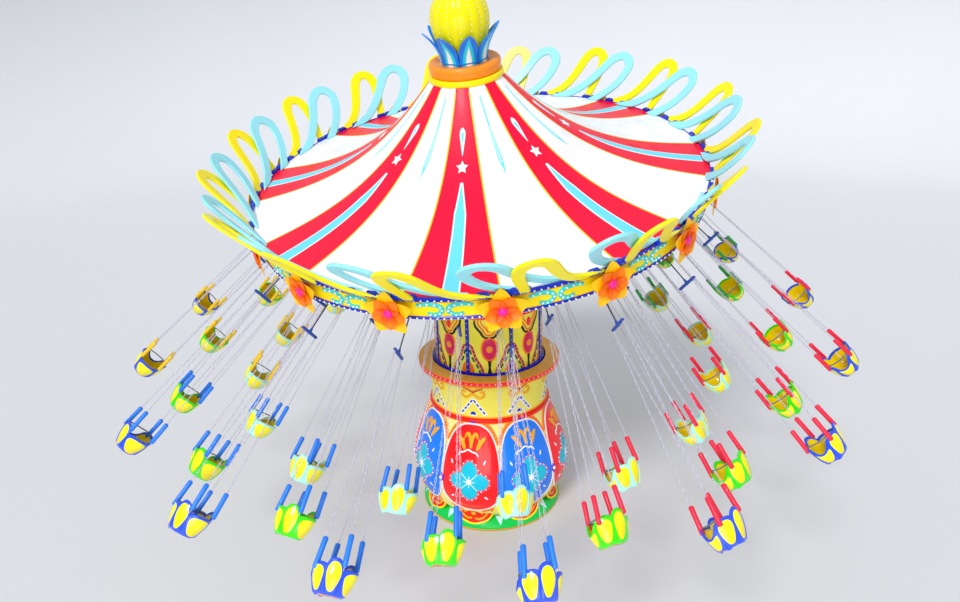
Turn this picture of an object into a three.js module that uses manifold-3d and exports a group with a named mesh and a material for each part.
// Chair swing ride of the wave swinger kind: a round base, a lifting column, a tilting head
// and a turning canopy that carries sixteen arms with three chain swings each.
// Millimetres, +Z up. The origin is the centre of the base on the ground. +Y points away
// from the viewer of the photograph and +X to the right.
// The canopy is modelled raised and leaning, with the seats flung out, as it rides.

import * as THREE from 'three';
import { mergeVertices } from 'three/addons/utils/BufferGeometryUtils.js';
import Module from 'manifold-3d';

const wasm = await Module();
wasm.setup();

const DEG = Math.PI / 180;
const GAP = 0.3; // seam left between two pieces that touch

// Base
const PLINTH_RADIUS = 1816;
const PLINTH_HEIGHT = 280;
const CORE_FOOT_RADIUS = 1550;
const NECK_HEIGHT = 2860; // top of the bulb, where the collar stands
const WELL_RADIUS = 1425; // hollow that the column sinks into
const WELL_FLOOR = 1600;
const GUIDE_FLOOR = 100;
const GUIDE_TOP = 3300;
const GUIDE_WALL = 170;
const SLIDE_GAP = 0.4; // between pieces that slide or turn in each other
const PANEL_COUNT = 8;
const PANEL_FIRST_ANGLE = 254.2;
const PANEL_BULGE = 72;
const PANEL_EDGE = 0.35; // share of the bulge that its edge stands out
const PANEL_TOP = 2830;
const PANEL_MIDDLE = 1500; // where it is widest
const PANEL_BOTTOM = 600;
const PANEL_HALF_TURN = 22;
const COLLAR_RADIUS = 1470;
const FLANGE_BOTTOM = 3890;
const FLANGE_TOP = 4060;
const FLANGE_RADIUS = 1778;
const FLANGE_HOLE_RADIUS = 1440;

// Column that slides up out of the base
const COLUMN_RADIUS = 1335;
const COLUMN_WALL = 60;
const COLUMN_BOTTOM = 3900;
const COLUMN_TOP = 7600;
const DECK_BOTTOM = 6350;
const DECK_TOP = 6400;
const MAST_RADIUS = 450;
const MAST_BOTTOM = 2350;
const FOOT_RING_RADIUS = 1394;
const FOOT_RING_TOP = 4090;
const CORNICE_BOTTOM = 5420;
const CORNICE_TOP = 5600;
const CORNICE_RADIUS = 1396;
const PILASTER_FACE_RADIUS = 1371;
const PILASTER_WIDTH = 86;
const PILASTER_FIRST_ANGLE = 248.3;

// Tilting head: a horizontal shaft in two cheeks, with a bearing on top
const PIVOT_HEIGHT = 6745;
const TILT_ANGLE = 15.8;
const LEAN_AZIMUTH = 252.5;
const SHAFT_RADIUS = 90;
const SHAFT_HALF_LENGTH = 380;
const CHEEK_INNER = 262;
const CHEEK_THICKNESS = 80;
const CHEEK_WIDTH = 360;
const CHEEK_ABOVE_PIVOT = 170;
const CRADLE_RADIUS = 250;
const CRADLE_BELOW_PIVOT = 120;
const BEARING_BOTTOM = 900; // heights in the head are measured from the pivot, along its axis
const BEARING_TOP = 1000;
const BEARING_RADIUS = 520;

// Canopy, in heights above its rim plane
const RIM_ABOVE_PIVOT = 2042;
const RIM_RADIUS = 5000;
const ROOF_EDGE_RADIUS = 4950;
const ROOF_TOP_RADIUS = 770;
const ROOF_HEIGHT = 2190;
const ROOF_THICKNESS = 50;
const ROOF_STRAIGHT_SHARE = 0.27;
const ROOF_CURVE_POWER = 2.78;
const FASCIA_HEIGHT = 477;
const FASCIA_WALL = 60;
const RAIL_BOTTOM = -20;
const RAIL_TOP = 50;
const RAIL_OUTER_RADIUS = 5125;
const HUB_RADIUS = 480;
const HUB_TOP = 560;
const NECK_RADIUS = 250;

// Flowers on the fascia
const SECTORS = 16;
const PITCH = 360 / SECTORS;
const FLOWER_PHASE = 3.2;
const FLOWER_DROP = 317;
const FLOWER_TIP = 480;
const FLOWER_NOTCH = 300;
const FLOWER_PETALS = 5;
const FLOWER_FRONT_RADIUS = 5200;
const FLOWER_BACK_RADIUS = 5145;

// Ribbon loops that stand round the rim, drawn on a cone that opens outwards
const LOOP_FLARE = 38 * DEG;
const LOOP_ROOT_RADIUS = 5010;
const LOOP_WIDTH = 250;
const LOOP_THICKNESS = 70;
const YELLOW_APEX_PHASE = 76;
const YELLOW_ROOT_LEAD = 11.2;
const YELLOW_OFFSET = 20;
const CYAN_APEX_PHASE = 66;
const CYAN_ROOT_LEAD = 12.9;
const CYAN_OFFSET = -74;

// Finial, in heights above the rim plane
const CROWN_RING_TOP = 2310;
const CROWN_RING_RADIUS = 795;
const CUSHION_TOP = 2560;
const CUSHION_RADIUS = 755;
const BALL_HEIGHT = 3380; // where the ball is widest
const BALL_RADIUS = 610;
const BALL_ABOVE = 600;
const BALL_BELOW = 830;
const BALL_FOOT_RADIUS = 245;
const LEAF_COUNT = 8;
const LEAF_PHASE = 12;
const LEAF_FOOT = 50;
const LEAF_FOOT_RADIUS = 520;
const LEAF_LENGTH = 640; // along its face, as it is drawn flat
const LEAF_RISE = 620;
const LEAF_INNER_RADIUS = 475;
const LEAF_SPREAD = 290;
const LEAF_THICKNESS = 45;

// Arms and swings
const ARM_PHASE = 5.14;
const ARM_WIDTH = 70;
const ARM_BOTTOM = -360;
const HANG_HEIGHT = -300;
const SWING_LENGTH = 5306;
const SPREADER_ABOVE_SEAT = 3744;
const SPREADER_LENGTH = 440;
const SPREADER_DEPTH = 60;
const CHAIN_FEET = [[222, 256, -20], [-243, 248, 80]]; // front and back, on each side
const CHAIN_RADIUS = 14;
const LINK_RADIUS = 18;
const RINGS = {
  outer: { hang: 3976, fly: 48.7, turn: 0, color: 0x2a55d0 },
  middle: { hang: 3190, fly: 44.8, turn: -PITCH / 2, color: 0x4ce000 },
  inner: { hang: 2197, fly: 38.1, turn: 0, color: 0x9fe8d0 },
};
const TUB_SIDES = 8;
const TUB_WALL = 40;
const TUB_BOTTOM = -330;
const TUB_FLOOR = -270;
// Heights of the lip's corners, from the low front round the tall side petals to the back
const TUB_LIP = [-60, 60, 180, 20, 20, 180, 60, -60];

const ROUND = 32; // sides of the large round pieces
const RIM_SIDES = 48;
const ARM_END = (RIM_RADIUS - FASCIA_WALL) * Math.cos(Math.PI / RIM_SIDES) - GAP;

// Materials
function paint(color, roughness = 0.35, metalness = 0.05) {
  return new THREE.MeshStandardMaterial({ color, roughness, metalness });
}
const RED = paint(0xe8102a);
const BLUE = paint(0x1e78e6);
const DARK_BLUE = paint(0x1030b0);
const YELLOW = paint(0xf5e21e);
const CREAM = paint(0xf0e45a);
const GREEN = paint(0x10b060);
const OCHRE = paint(0xe8a020);
const ORANGE = paint(0xff8a20);
const WHITE = paint(0xfafafa);
const CYAN = paint(0x7fe0f0);
const STEEL = paint(0x8a8f96, 0.45, 0.7);

// Solids
function solid(geometry) {
  const bare = geometry.clone();
  bare.deleteAttribute('normal');
  bare.deleteAttribute('uv');
  const merged = mergeVertices(bare, 0.01);
  const index = merged.index.array;
  const position = merged.attributes.position.array;
  const kept = [];
  let volume = 0;
  for (let i = 0; i < index.length; i += 3) {
    const [a, b, c] = [index[i], index[i + 1], index[i + 2]];
    if (a === b || b === c || c === a) continue;
    kept.push(a, b, c);
    const corner = (n) => new THREE.Vector3().fromArray(position, 3 * n);
    volume += corner(a).dot(corner(b).cross(corner(c)));
  }
  if (volume < 0) kept.reverse();
  return new wasm.Manifold(new wasm.Mesh({
    numProp: 3,
    vertProperties: new Float32Array(position),
    triVerts: new Uint32Array(kept),
  }));
}

function geometryOf(shape) {
  const mesh = shape.getMesh();
  const geometry = new THREE.BufferGeometry();
  geometry.setAttribute('position', new THREE.BufferAttribute(mesh.vertProperties.slice(), 3));
  geometry.setIndex(new THREE.BufferAttribute(mesh.triVerts.slice(), 1));
  geometry.computeVertexNormals();
  return geometry;
}

function join(shapes) {
  return shapes.reduce((sum, next) => sum.add(next));
}

// A turned solid about Z from [radius, height] corners; a ring's outline closes on itself
function turned(profile, sides = ROUND) {
  const points = profile.map(([r, z]) => new THREE.Vector2(r, z));
  if (profile[0][0] > 0) points.push(points[0].clone());
  const geometry = new THREE.LatheGeometry(points, sides);
  geometry.rotateX(Math.PI / 2);
  return solid(geometry);
}

// A box with its middle at a height and a radius along a direction in the XY plane
function radialBox(angle, radius, size, height) {
  const geometry = new THREE.BoxGeometry(...size);
  geometry.translate(radius, 0, height);
  geometry.rotateZ(angle * DEG);
  return solid(geometry);
}

// A round or few-sided bar from one point to another
function bar(from, to, radius, sides) {
  const length = from.distanceTo(to);
  const geometry = new THREE.CylinderGeometry(radius, radius, length, sides);
  geometry.applyMatrix4(alongY(from.clone().add(to).multiplyScalar(0.5), to.clone().sub(from)));
  return solid(geometry);
}

// Places a shape made about the Y axis so that its Y points along a direction
function alongY(origin, direction) {
  const turn = new THREE.Quaternion().setFromUnitVectors(
    new THREE.Vector3(0, 1, 0),
    direction.clone().normalize(),
  );
  return new THREE.Matrix4().compose(origin, turn, new THREE.Vector3(1, 1, 1));
}

// The frames of the leaning parts
const lean = new THREE.Vector3(Math.cos(LEAN_AZIMUTH * DEG), Math.sin(LEAN_AZIMUTH * DEG), 0);
const up = new THREE.Vector3(0, 0, 1);
const tiltAxis = up.clone().cross(lean);
const canopyAxis = up.clone().applyAxisAngle(tiltAxis, TILT_ANGLE * DEG);
const canopyX = new THREE.Vector3(0, 1, 0).cross(canopyAxis).normalize();
const canopyY = canopyAxis.clone().cross(canopyX);
const pivot = new THREE.Vector3(0, 0, PIVOT_HEIGHT);

// The head and the canopy are built upright about Z, from the pivot and from the rim plane
const head = new THREE.Group();
head.setRotationFromMatrix(new THREE.Matrix4().makeBasis(canopyX, canopyY, canopyAxis));
head.position.copy(pivot);
const canopy = new THREE.Group();
canopy.position.set(0, 0, RIM_ABOVE_PIVOT);
head.add(canopy);
const ride = new THREE.Group();
ride.add(head);
head.updateMatrixWorld(true);
const intoCanopy = canopy.matrixWorld.clone().invert();

function place(group, name, shape, material) {
  const mesh = new THREE.Mesh(geometryOf(shape), material);
  mesh.name = name;
  group.add(mesh);
}

// Base: a bulb with a well for the column and a guide for its mast
const CORE_OUTLINE = [
  [CORE_FOOT_RADIUS, 285],
  [1740, 500],
  [1900, 880],
  [1950, 1300],
  [1875, 1750],
  [1700, 2300],
  [1500, NECK_HEIGHT],
];

function coreSolid(grow) {
  const guide = MAST_RADIUS + SLIDE_GAP;
  return turned([
    [0, 0],
    [CORE_FOOT_RADIUS + grow, 0],
    ...CORE_OUTLINE.map(([r, z]) => [r + grow, z]),
    [WELL_RADIUS, NECK_HEIGHT],
    [WELL_RADIUS, WELL_FLOOR],
    [guide + GUIDE_WALL, WELL_FLOOR],
    [guide + GUIDE_WALL, GUIDE_TOP],
    [guide, GUIDE_TOP],
    [guide, GUIDE_FLOOR],
    [0, GUIDE_FLOOR],
  ]);
}

function coreRadiusAt(height) {
  const above = CORE_OUTLINE.findIndex(([, z]) => z >= height);
  const [[r0, z0], [r1, z1]] = [CORE_OUTLINE[above - 1], CORE_OUTLINE[above]];
  return r0 + ((r1 - r0) * (height - z0)) / (z1 - z0);
}

// Quarters of a panel's outline, from its end to its widest place, as shares of its half size:
// blunt at the top and rounder at the bottom
const PANEL_UPPER = [[0, 1], [0.45, 0.975], [0.78, 0.83], [0.97, 0.5], [1, 0]];
const PANEL_LOWER = [[0, 1], [0.33, 0.975], [0.71, 0.83], [0.96, 0.5], [1, 0]];

// An egg-shaped domed panel: a low dome on a disc, drawn out to its outline on the bulb
function bellyPanel(angle) {
  const dome = [[0, -0.6], [1, -0.6], [1, PANEL_EDGE], [0.78, 0.75], [0, 1]];
  const points = dome.map(([r, t]) => new THREE.Vector2(r, t));
  const quarter = PANEL_UPPER.length - 1;
  const geometry = new THREE.LatheGeometry(points, 4 * quarter);
  const corner = geometry.attributes.position;
  for (let i = 0; i < corner.count; i += 1) {
    const [share, thick] = dome[i % dome.length];
    const step = Math.floor(i / dome.length);
    const upper = step <= quarter || step >= 3 * quarter;
    const place = step % (2 * quarter);
    const along = place <= quarter ? place : 2 * quarter - place;
    const [wide, tall] = (upper ? PANEL_UPPER : PANEL_LOWER)[along];
    const side = step > 2 * quarter ? -1 : 1;
    const reach = upper ? PANEL_TOP - PANEL_MIDDLE : PANEL_BOTTOM - PANEL_MIDDLE;
    const height = PANEL_MIDDLE + reach * tall * share;
    const turn = (angle + side * wide * share * PANEL_HALF_TURN) * DEG;
    const radius = coreRadiusAt(height) + PANEL_BULGE * thick;
    corner.setXYZ(i, radius * Math.cos(turn), radius * Math.sin(turn), height);
  }
  return solid(geometry).subtract(coreSolid(GAP));
}

place(ride, 'plinth_ring', turned([
  [CORE_FOOT_RADIUS + GAP, 0],
  [PLINTH_RADIUS, 0],
  [PLINTH_RADIUS, 90],
  [CORE_FOOT_RADIUS + GAP, PLINTH_HEIGHT],
]), GREEN);
place(ride, 'base_core', coreSolid(0), YELLOW);
for (let i = 0; i < PANEL_COUNT; i += 1) {
  const angle = PANEL_FIRST_ANGLE + i * 45;
  place(ride, `belly_panel_${i + 1}`, bellyPanel(angle), i % 2 ? BLUE : RED);
}
place(ride, 'neck_band', turned([
  [COLLAR_RADIUS + GAP, NECK_HEIGHT + GAP],
  [1525, NECK_HEIGHT + GAP],
  [1532, 2900],
  [COLLAR_RADIUS + GAP, 2955],
]), RED);
place(ride, 'collar', turned([
  [WELL_RADIUS, NECK_HEIGHT + GAP],
  [COLLAR_RADIUS, NECK_HEIGHT + GAP],
  [COLLAR_RADIUS, FLANGE_BOTTOM - GAP],
  [WELL_RADIUS, FLANGE_BOTTOM - GAP],
]), CREAM);
place(ride, 'collar_flange', turned([
  [FLANGE_HOLE_RADIUS, FLANGE_BOTTOM],
  [1720, FLANGE_BOTTOM],
  [FLANGE_RADIUS, FLANGE_BOTTOM + 40],
  [FLANGE_RADIUS, FLANGE_TOP],
  [FLANGE_HOLE_RADIUS, FLANGE_TOP],
]), OCHRE);

// Column: a shell with a deck, a mast under it and a frame of pilasters round it
const columnInner = COLUMN_RADIUS - COLUMN_WALL;
place(ride, 'column_skin', turned([
  [0, DECK_BOTTOM],
  [columnInner, DECK_BOTTOM],
  [columnInner, COLUMN_BOTTOM],
  [COLUMN_RADIUS, COLUMN_BOTTOM],
  [COLUMN_RADIUS, COLUMN_TOP],
  [columnInner, COLUMN_TOP],
  [columnInner, DECK_TOP],
  [0, DECK_TOP],
]), CREAM);
place(ride, 'lift_mast', turned([
  [0, MAST_BOTTOM],
  [MAST_RADIUS, MAST_BOTTOM],
  [MAST_RADIUS, DECK_BOTTOM - GAP],
  [0, DECK_BOTTOM - GAP],
]), STEEL);

function columnFrame() {
  const inside = COLUMN_RADIUS + GAP;
  const parts = [
    turned([
      [inside, COLUMN_BOTTOM],
      [FOOT_RING_RADIUS, COLUMN_BOTTOM],
      [FOOT_RING_RADIUS, FOOT_RING_TOP],
      [inside, FOOT_RING_TOP],
    ]),
    turned([
      [inside, CORNICE_BOTTOM],
      [CORNICE_RADIUS, CORNICE_BOTTOM],
      [CORNICE_RADIUS, CORNICE_TOP],
      [inside, CORNICE_TOP],
    ]),
  ];
  const depth = PILASTER_FACE_RADIUS - inside;
  const height = CORNICE_BOTTOM - FOOT_RING_TOP + 40;
  const middle = (CORNICE_BOTTOM + FOOT_RING_TOP) / 2;
  for (let i = 0; i < 8; i += 1) {
    const angle = PILASTER_FIRST_ANGLE + i * 45;
    const size = [depth, PILASTER_WIDTH, height];
    parts.push(radialBox(angle, PILASTER_FACE_RADIUS - depth / 2, size, middle));
  }
  return join(parts);
}
place(ride, 'column_frame', columnFrame(), DARK_BLUE);

// Yoke on the deck that carries the tilt shaft
const leanTurn = (LEAN_AZIMUTH + 90) * DEG; // turns +X onto the tilt axis

function tiltYoke() {
  const base = DECK_TOP + GAP;
  const top = PIVOT_HEIGHT + CHEEK_ABOVE_PIVOT;
  const reach = CHEEK_INNER + CHEEK_THICKNESS;
  const plate = new THREE.BoxGeometry(2 * reach, CHEEK_WIDTH, 40);
  plate.translate(0, 0, base + 20);
  const parts = [solid(plate)];
  for (const side of [-1, 1]) {
    const cheek = new THREE.BoxGeometry(CHEEK_THICKNESS, CHEEK_WIDTH, top - base);
    cheek.translate(side * (reach - CHEEK_THICKNESS / 2), 0, (top + base) / 2);
    parts.push(solid(cheek));
  }
  const sides = 24;
  const bore = (SHAFT_RADIUS + SLIDE_GAP) / Math.cos(Math.PI / sides); // clears its corners
  const hole = new THREE.CylinderGeometry(bore, bore, 4 * reach, sides);
  hole.rotateZ(Math.PI / 2);
  hole.translate(0, 0, PIVOT_HEIGHT);
  const upright = geometryOf(join(parts).subtract(solid(hole)));
  upright.rotateZ(leanTurn);
  return solid(upright);
}
place(ride, 'tilt_yoke', tiltYoke(), STEEL);

// Head: the tilt shaft with the drum and the bearing that the canopy turns on
function tiltHead() {
  const drum = turned([
    [0, -CRADLE_BELOW_PIVOT],
    [CRADLE_RADIUS, -CRADLE_BELOW_PIVOT],
    [CRADLE_RADIUS, BEARING_BOTTOM],
    [BEARING_RADIUS, BEARING_BOTTOM],
    [BEARING_RADIUS, BEARING_TOP],
    [0, BEARING_TOP],
  ], 16);
  const axis = new THREE.Vector3(tiltAxis.dot(canopyX), tiltAxis.dot(canopyY), 0);
  const end = axis.clone().multiplyScalar(SHAFT_HALF_LENGTH);
  return drum.add(bar(end.clone().negate(), end, SHAFT_RADIUS, 16));
}
place(head, 'tilt_head', tiltHead(), STEEL);

// Canopy: hub, roof, fascia with flowers, ribbon loops and finial
place(canopy, 'rotor_hub', turned([
  [0, BEARING_TOP + GAP - RIM_ABOVE_PIVOT],
  [BEARING_RADIUS + 40, BEARING_TOP + GAP - RIM_ABOVE_PIVOT],
  [BEARING_RADIUS + 40, BEARING_TOP + 150 - RIM_ABOVE_PIVOT],
  [HUB_RADIUS, BEARING_TOP + 150 - RIM_ABOVE_PIVOT],
  [HUB_RADIUS, HUB_TOP],
  [NECK_RADIUS, HUB_TOP],
  [NECK_RADIUS, ROOF_HEIGHT],
  [0, ROOF_HEIGHT],
], 16), STEEL);

function roofHeight(radius) {
  const out = (radius - ROOF_TOP_RADIUS) / (RIM_RADIUS - ROOF_TOP_RADIUS);
  const straight = ROOF_STRAIGHT_SHARE * (1 - out);
  const curved = (1 - ROOF_STRAIGHT_SHARE) * (1 - out) ** ROOF_CURVE_POWER;
  return ROOF_HEIGHT * (straight + curved);
}

function roof() {
  const radii = [ROOF_EDGE_RADIUS, 3700, 2600, 1800, 1250, ROOF_TOP_RADIUS];
  const outer = radii.map((r) => [r, roofHeight(r)]);
  const inner = radii.slice(1).reverse().map((r) => [r - 15, roofHeight(r) - ROOF_THICKNESS - 5]);
  return turned([
    ...outer,
    [700, ROOF_HEIGHT],
    [700, ROOF_HEIGHT - ROOF_THICKNESS],
    ...inner,
    [ROOF_EDGE_RADIUS, RAIL_BOTTOM + GAP],
  ], RIM_SIDES);
}
place(canopy, 'canopy_roof', roof(), WHITE);

// A five-petalled flower, drawn flat with its tips and notches, one petal pointing up
function flower(angle) {
  const shape = new THREE.Shape();
  for (let i = 0; i <= 2 * FLOWER_PETALS; i += 1) {
    const reach = i % 2 ? FLOWER_NOTCH : FLOWER_TIP;
    const turn = (i * Math.PI) / FLOWER_PETALS;
    const point = [reach * Math.sin(turn), reach * Math.cos(turn)];
    if (i === 0) shape.moveTo(...point);
    else shape.lineTo(...point);
  }
  const depth = FLOWER_FRONT_RADIUS - RIM_RADIUS + 30;
  const geometry = new THREE.ExtrudeGeometry(shape, { depth, bevelEnabled: false, steps: 1 });
  geometry.rotateX(Math.PI / 2);
  geometry.rotateZ(Math.PI / 2);
  geometry.translate(RIM_RADIUS - 30, 0, -FLOWER_DROP);
  geometry.rotateZ(angle * DEG);
  return solid(geometry);
}

function fascia() {
  const parts = [turned([
    [RIM_RADIUS - FASCIA_WALL, -FASCIA_HEIGHT],
    [RIM_RADIUS + 25, -FASCIA_HEIGHT],
    [RIM_RADIUS + 25, RAIL_BOTTOM - GAP],
    [RIM_RADIUS - FASCIA_WALL, RAIL_BOTTOM - GAP],
  ], RIM_SIDES)];
  for (let i = 0; i < SECTORS; i += 1) parts.push(flower(FLOWER_PHASE + i * PITCH));
  const rimTop = turned([
    [4000, RAIL_BOTTOM - GAP],
    [FLOWER_BACK_RADIUS, RAIL_BOTTOM - GAP],
    [FLOWER_BACK_RADIUS, 400],
    [4000, 400],
  ], RIM_SIDES);
  return join(parts).subtract(rimTop);
}
place(canopy, 'fascia', fascia(), YELLOW);

// Centre lines of the two ribbon loops: metres clockwise along the rim, metres up the cone
const YELLOW_LINE = [
  [-0.2, 0.06],
  [0.32, 0.3],
  [0.6, 0.78],
  [0.88, 1.3],
  [1.16, 1.19],
  [1.17, 0.62],
  [1.03, 0.06],
];
const CYAN_LINE = [
  [-0.48, 0],
  [0.12, 0.29],
  [0.53, 0.77],
  [0.88, 1.22],
  [1.21, 1.06],
  [1.1, 0.54],
  [0.54, 0],
];

// A flat ribbon outline on both sides of a centre line, as thick as a board
function ribbon(line) {
  const middle = line.map(([s, v]) => new THREE.Vector2(s * 1000, v * 1000));
  const sides = [[], []];
  middle.forEach((point, i) => {
    const across = new THREE.Vector2(0, i ? -1 : 1);
    if (i > 0 && i + 1 < middle.length) across.copy(middle[i + 1]).sub(middle[i - 1]);
    across.normalize().multiplyScalar(LOOP_WIDTH / 2);
    sides[0].push(new THREE.Vector2(point.x - across.y, point.y + across.x));
    sides[1].push(new THREE.Vector2(point.x + across.y, point.y - across.x));
  });
  const shape = new THREE.Shape([...sides[0], ...sides[1].reverse()]);
  return new THREE.ExtrudeGeometry(shape, {
    depth: LOOP_THICKNESS,
    bevelEnabled: false,
    steps: 1,
  });
}

// Bends a ribbon onto the cone, from the angle of its first root, clockwise
function loop(line, rootAngle, offset) {
  const geometry = ribbon(line);
  const corner = geometry.attributes.position;
  for (let i = 0; i < corner.count; i += 1) {
    const [along, rise, out] = [corner.getX(i), corner.getY(i), corner.getZ(i) + offset];
    const turn = rootAngle * DEG - along / RIM_RADIUS;
    const radius = LOOP_ROOT_RADIUS + rise * Math.sin(LOOP_FLARE) + out * Math.cos(LOOP_FLARE);
    const height = rise * Math.cos(LOOP_FLARE) - out * Math.sin(LOOP_FLARE);
    corner.setXYZ(i, radius * Math.cos(turn), radius * Math.sin(turn), height);
  }
  return solid(geometry);
}

function loopCrown() {
  const parts = [turned([
    [ROOF_EDGE_RADIUS + GAP, RAIL_BOTTOM],
    [RAIL_OUTER_RADIUS, RAIL_BOTTOM],
    [RAIL_OUTER_RADIUS, RAIL_TOP],
    [ROOF_EDGE_RADIUS + GAP, RAIL_TOP],
  ], RIM_SIDES)];
  for (let i = 0; i < SECTORS; i += 1) {
    const yellowRoot = YELLOW_APEX_PHASE + YELLOW_ROOT_LEAD + i * PITCH;
    const cyanRoot = CYAN_APEX_PHASE + CYAN_ROOT_LEAD + i * PITCH;
    parts.push(loop(YELLOW_LINE, yellowRoot, YELLOW_OFFSET));
    parts.push(loop(CYAN_LINE, cyanRoot, CYAN_OFFSET));
  }
  return join(parts);
}
place(canopy, 'loop_crown', loopCrown(), CYAN);

place(canopy, 'crown_ring', turned([
  [0, ROOF_HEIGHT + GAP],
  [CROWN_RING_RADIUS - 20, ROOF_HEIGHT + GAP],
  [CROWN_RING_RADIUS, ROOF_HEIGHT + 40],
  [CROWN_RING_RADIUS - 20, CROWN_RING_TOP],
  [0, CROWN_RING_TOP],
], 24), YELLOW);
place(canopy, 'crown_cushion', turned([
  [0, CROWN_RING_TOP + GAP],
  [700, CROWN_RING_TOP + GAP],
  [CUSHION_RADIUS, CROWN_RING_TOP + 70],
  [CUSHION_RADIUS, CROWN_RING_TOP + 180],
  [690, CUSHION_TOP],
  [0, CUSHION_TOP],
], 24), ORANGE);

// A pointed leaf, drawn flat and bent round the foot of the ball
function leaf(angle) {
  const shape = new THREE.Shape([
    new THREE.Vector2(-150, 0),
    new THREE.Vector2(150, 0),
    new THREE.Vector2(190, 0.3 * LEAF_LENGTH),
    new THREE.Vector2(125, 0.65 * LEAF_LENGTH),
    new THREE.Vector2(0, LEAF_LENGTH),
    new THREE.Vector2(-125, 0.65 * LEAF_LENGTH),
    new THREE.Vector2(-190, 0.3 * LEAF_LENGTH),
  ]);
  const geometry = new THREE.ExtrudeGeometry(shape, {
    depth: LEAF_THICKNESS,
    bevelEnabled: false,
    steps: 1,
  });
  const corner = geometry.attributes.position;
  for (let i = 0; i < corner.count; i += 1) {
    const [across, along, out] = [corner.getX(i), corner.getY(i), corner.getZ(i)];
    const share = along / LEAF_LENGTH;
    const radius = LEAF_INNER_RADIUS + LEAF_SPREAD * share ** 2 + out;
    const turn = angle * DEG + across / (LEAF_INNER_RADIUS + LEAF_SPREAD * share / 2);
    const height = CUSHION_TOP + 10 + LEAF_RISE * share;
    corner.setXYZ(i, radius * Math.cos(turn), radius * Math.sin(turn), height);
  }
  return solid(geometry);
}

function finialLeaves() {
  const parts = [turned([
    [0, CUSHION_TOP + GAP],
    [LEAF_FOOT_RADIUS, CUSHION_TOP + GAP],
    [LEAF_FOOT_RADIUS, CUSHION_TOP + LEAF_FOOT],
    [0, CUSHION_TOP + LEAF_FOOT],
  ], 24)];
  for (let i = 0; i < LEAF_COUNT; i += 1) parts.push(leaf(LEAF_PHASE + i * 45));
  return join(parts);
}
place(canopy, 'finial_leaves', finialLeaves(), BLUE);

// The ball is longer below its widest part than above it, and stands on a flat foot
function finialBall() {
  const base = CUSHION_TOP + LEAF_FOOT + GAP;
  const outline = [[0, base], [BALL_FOOT_RADIUS, base]];
  const steps = 9;
  const first = Math.asin(BALL_FOOT_RADIUS / BALL_RADIUS) + 0.1;
  for (let i = 0; i < steps; i += 1) {
    const turn = first + ((Math.PI - first) * i) / steps;
    const reach = Math.cos(turn) > 0 ? BALL_BELOW : BALL_ABOVE;
    outline.push([BALL_RADIUS * Math.sin(turn), BALL_HEIGHT - reach * Math.cos(turn)]);
  }
  outline.push([0, BALL_HEIGHT + BALL_ABOVE]);
  return turned(outline, 20);
}
place(canopy, 'finial_ball', finialBall(), YELLOW);

// Swings. A swing's own frame: X forwards (clockwise), Y outwards, Z up along the chains,
// with the origin in the middle of the seat tub.
function tubRing(reachX, reachY, heights, inset) {
  return Array.from({ length: TUB_SIDES }, (_, i) => {
    const turn = ((i + 0.5) * 2 * Math.PI) / TUB_SIDES;
    const [x, y] = [Math.cos(turn), Math.sin(turn)];
    return new THREE.Vector3((reachX - inset) * x, (reachY - inset) * y, heights[i % heights.length]);
  });
}

function tub() {
  const rings = [
    tubRing(240, 200, [TUB_BOTTOM], 0),
    tubRing(390, 345, TUB_LIP, 0),
    tubRing(390, 345, TUB_LIP, TUB_WALL),
    tubRing(250, 210, [TUB_FLOOR], TUB_WALL),
  ];
  const corners = rings.flat();
  corners.push(new THREE.Vector3(0, 0, TUB_BOTTOM), new THREE.Vector3(0, 0, TUB_FLOOR));
  const faces = [];
  for (let ring = 0; ring + 1 < rings.length; ring += 1) {
    for (let i = 0; i < TUB_SIDES; i += 1) {
      const next = (i + 1) % TUB_SIDES;
      const [a, b] = [ring * TUB_SIDES + i, ring * TUB_SIDES + next];
      faces.push(a, b, b + TUB_SIDES, a, b + TUB_SIDES, a + TUB_SIDES);
    }
  }
  const last = (rings.length - 1) * TUB_SIDES;
  for (let i = 0; i < TUB_SIDES; i += 1) {
    const next = (i + 1) % TUB_SIDES;
    faces.push(corners.length - 2, next, i);
    faces.push(corners.length - 1, last + i, last + next);
  }
  const geometry = new THREE.BufferGeometry().setFromPoints(corners);
  geometry.setIndex(faces);
  return geometry;
}

// A chain as a three-sided rod
function rod(from, to, radius) {
  const section = new THREE.Shape();
  for (let i = 0; i < 3; i += 1) {
    const turn = (i * 2 * Math.PI) / 3;
    const corner = [radius * Math.cos(turn), radius * Math.sin(turn)];
    if (i === 0) section.moveTo(...corner);
    else section.lineTo(...corner);
  }
  const depth = from.distanceTo(to);
  const geometry = new THREE.ExtrudeGeometry(section, { depth, bevelEnabled: false, steps: 1 });
  geometry.rotateX(-Math.PI / 2);
  geometry.applyMatrix4(alongY(from, to.clone().sub(from)));
  return geometry;
}

function swingPieces(linkLength) {
  const pieces = [tub()];
  const barHeight = SPREADER_ABOVE_SEAT;
  const spreader = new THREE.BoxGeometry(SPREADER_DEPTH, SPREADER_LENGTH, SPREADER_DEPTH);
  spreader.translate(0, 0, barHeight);
  pieces.push(spreader);
  for (const side of [-1, 1]) {
    const top = new THREE.Vector3(0, side * (SPREADER_LENGTH / 2 - 30), barHeight);
    for (const [forward, outward, height] of CHAIN_FEET) {
      pieces.push(rod(new THREE.Vector3(forward, side * outward, height), top, CHAIN_RADIUS));
    }
  }
  const linkTop = new THREE.Vector3(0, 0, barHeight + linkLength);
  pieces.push(rod(new THREE.Vector3(0, 0, barHeight), linkTop, LINK_RADIUS));
  return pieces;
}

function canopyPoint(angle, radius, height) {
  return new THREE.Vector3(
    radius * Math.cos(angle * DEG),
    radius * Math.sin(angle * DEG),
    height,
  ).applyMatrix4(canopy.matrixWorld);
}

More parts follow.
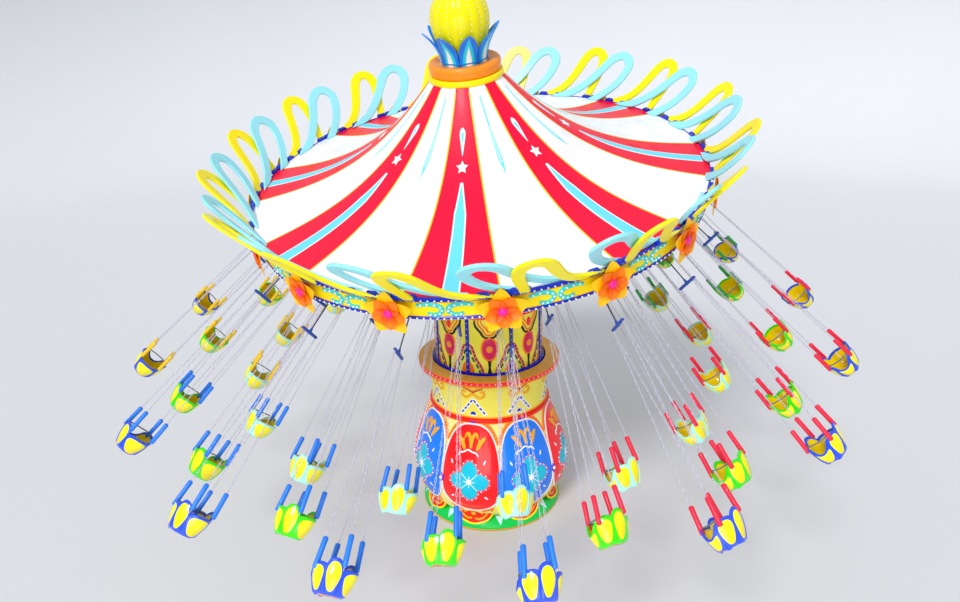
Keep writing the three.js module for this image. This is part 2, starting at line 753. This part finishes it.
function swing(angle, ring) {
  const hang = canopyPoint(angle, ring.hang, HANG_HEIGHT);
  const azimuth = angle * DEG;
  const outward = new THREE.Vector3(Math.cos(azimuth), Math.sin(azimuth), 0);
  const fly = ring.fly * DEG;
  const upChain = up.clone().multiplyScalar(Math.cos(fly));
  upChain.addScaledVector(outward, -Math.sin(fly));
  const forward = new THREE.Vector3(Math.sin(azimuth), -Math.cos(azimuth), 0);
  const side = upChain.clone().cross(forward);
  const seat = hang.clone().addScaledVector(upChain, -SWING_LENGTH);
  const frame = new THREE.Matrix4().makeBasis(forward, side, upChain).setPosition(seat);
  frame.premultiply(intoCanopy);
  const linkLength = SWING_LENGTH - SPREADER_ABOVE_SEAT + 10;
  return swingPieces(linkLength).map((piece) => solid(piece.applyMatrix4(frame)));
}

function arm(angle) {
  const outline = new THREE.Shape([
    new THREE.Vector2(HUB_RADIUS + GAP, ARM_BOTTOM),
    new THREE.Vector2(4060, ARM_BOTTOM),
    new THREE.Vector2(4060, -250),
    new THREE.Vector2(ARM_END, -200),
    new THREE.Vector2(ARM_END, -110),
    new THREE.Vector2(4060, -130),
    new THREE.Vector2(HUB_RADIUS + GAP, 480),
  ]);
  const geometry = new THREE.ExtrudeGeometry(outline, {
    depth: ARM_WIDTH,
    bevelEnabled: false,
    steps: 1,
  });
  geometry.translate(0, 0, -ARM_WIDTH / 2);
  geometry.rotateX(Math.PI / 2);
  geometry.rotateZ(angle * DEG);
  const middle = RINGS.middle;
  const rim = (turn) => new THREE.Vector3(
    middle.hang * Math.cos(turn * DEG),
    middle.hang * Math.sin(turn * DEG),
    HANG_HEIGHT + 10,
  );
  const [inner, tip] = [rim(angle), rim(angle + middle.turn)];
  tip.addScaledVector(tip.clone().sub(inner).normalize(), 50);
  return solid(geometry).add(bar(inner, tip, 45, 4));
}

for (let i = 0; i < SECTORS; i += 1) {
  const angle = ARM_PHASE + i * PITCH;
  const parts = [arm(angle)];
  for (const ring of Object.values(RINGS)) parts.push(...swing(angle + ring.turn, ring));
  const number = String(i + 1).padStart(2, '0');
  place(canopy, `swing_arm_${number}`, join(parts), paint(RINGS.outer.color));
}

export default ride;
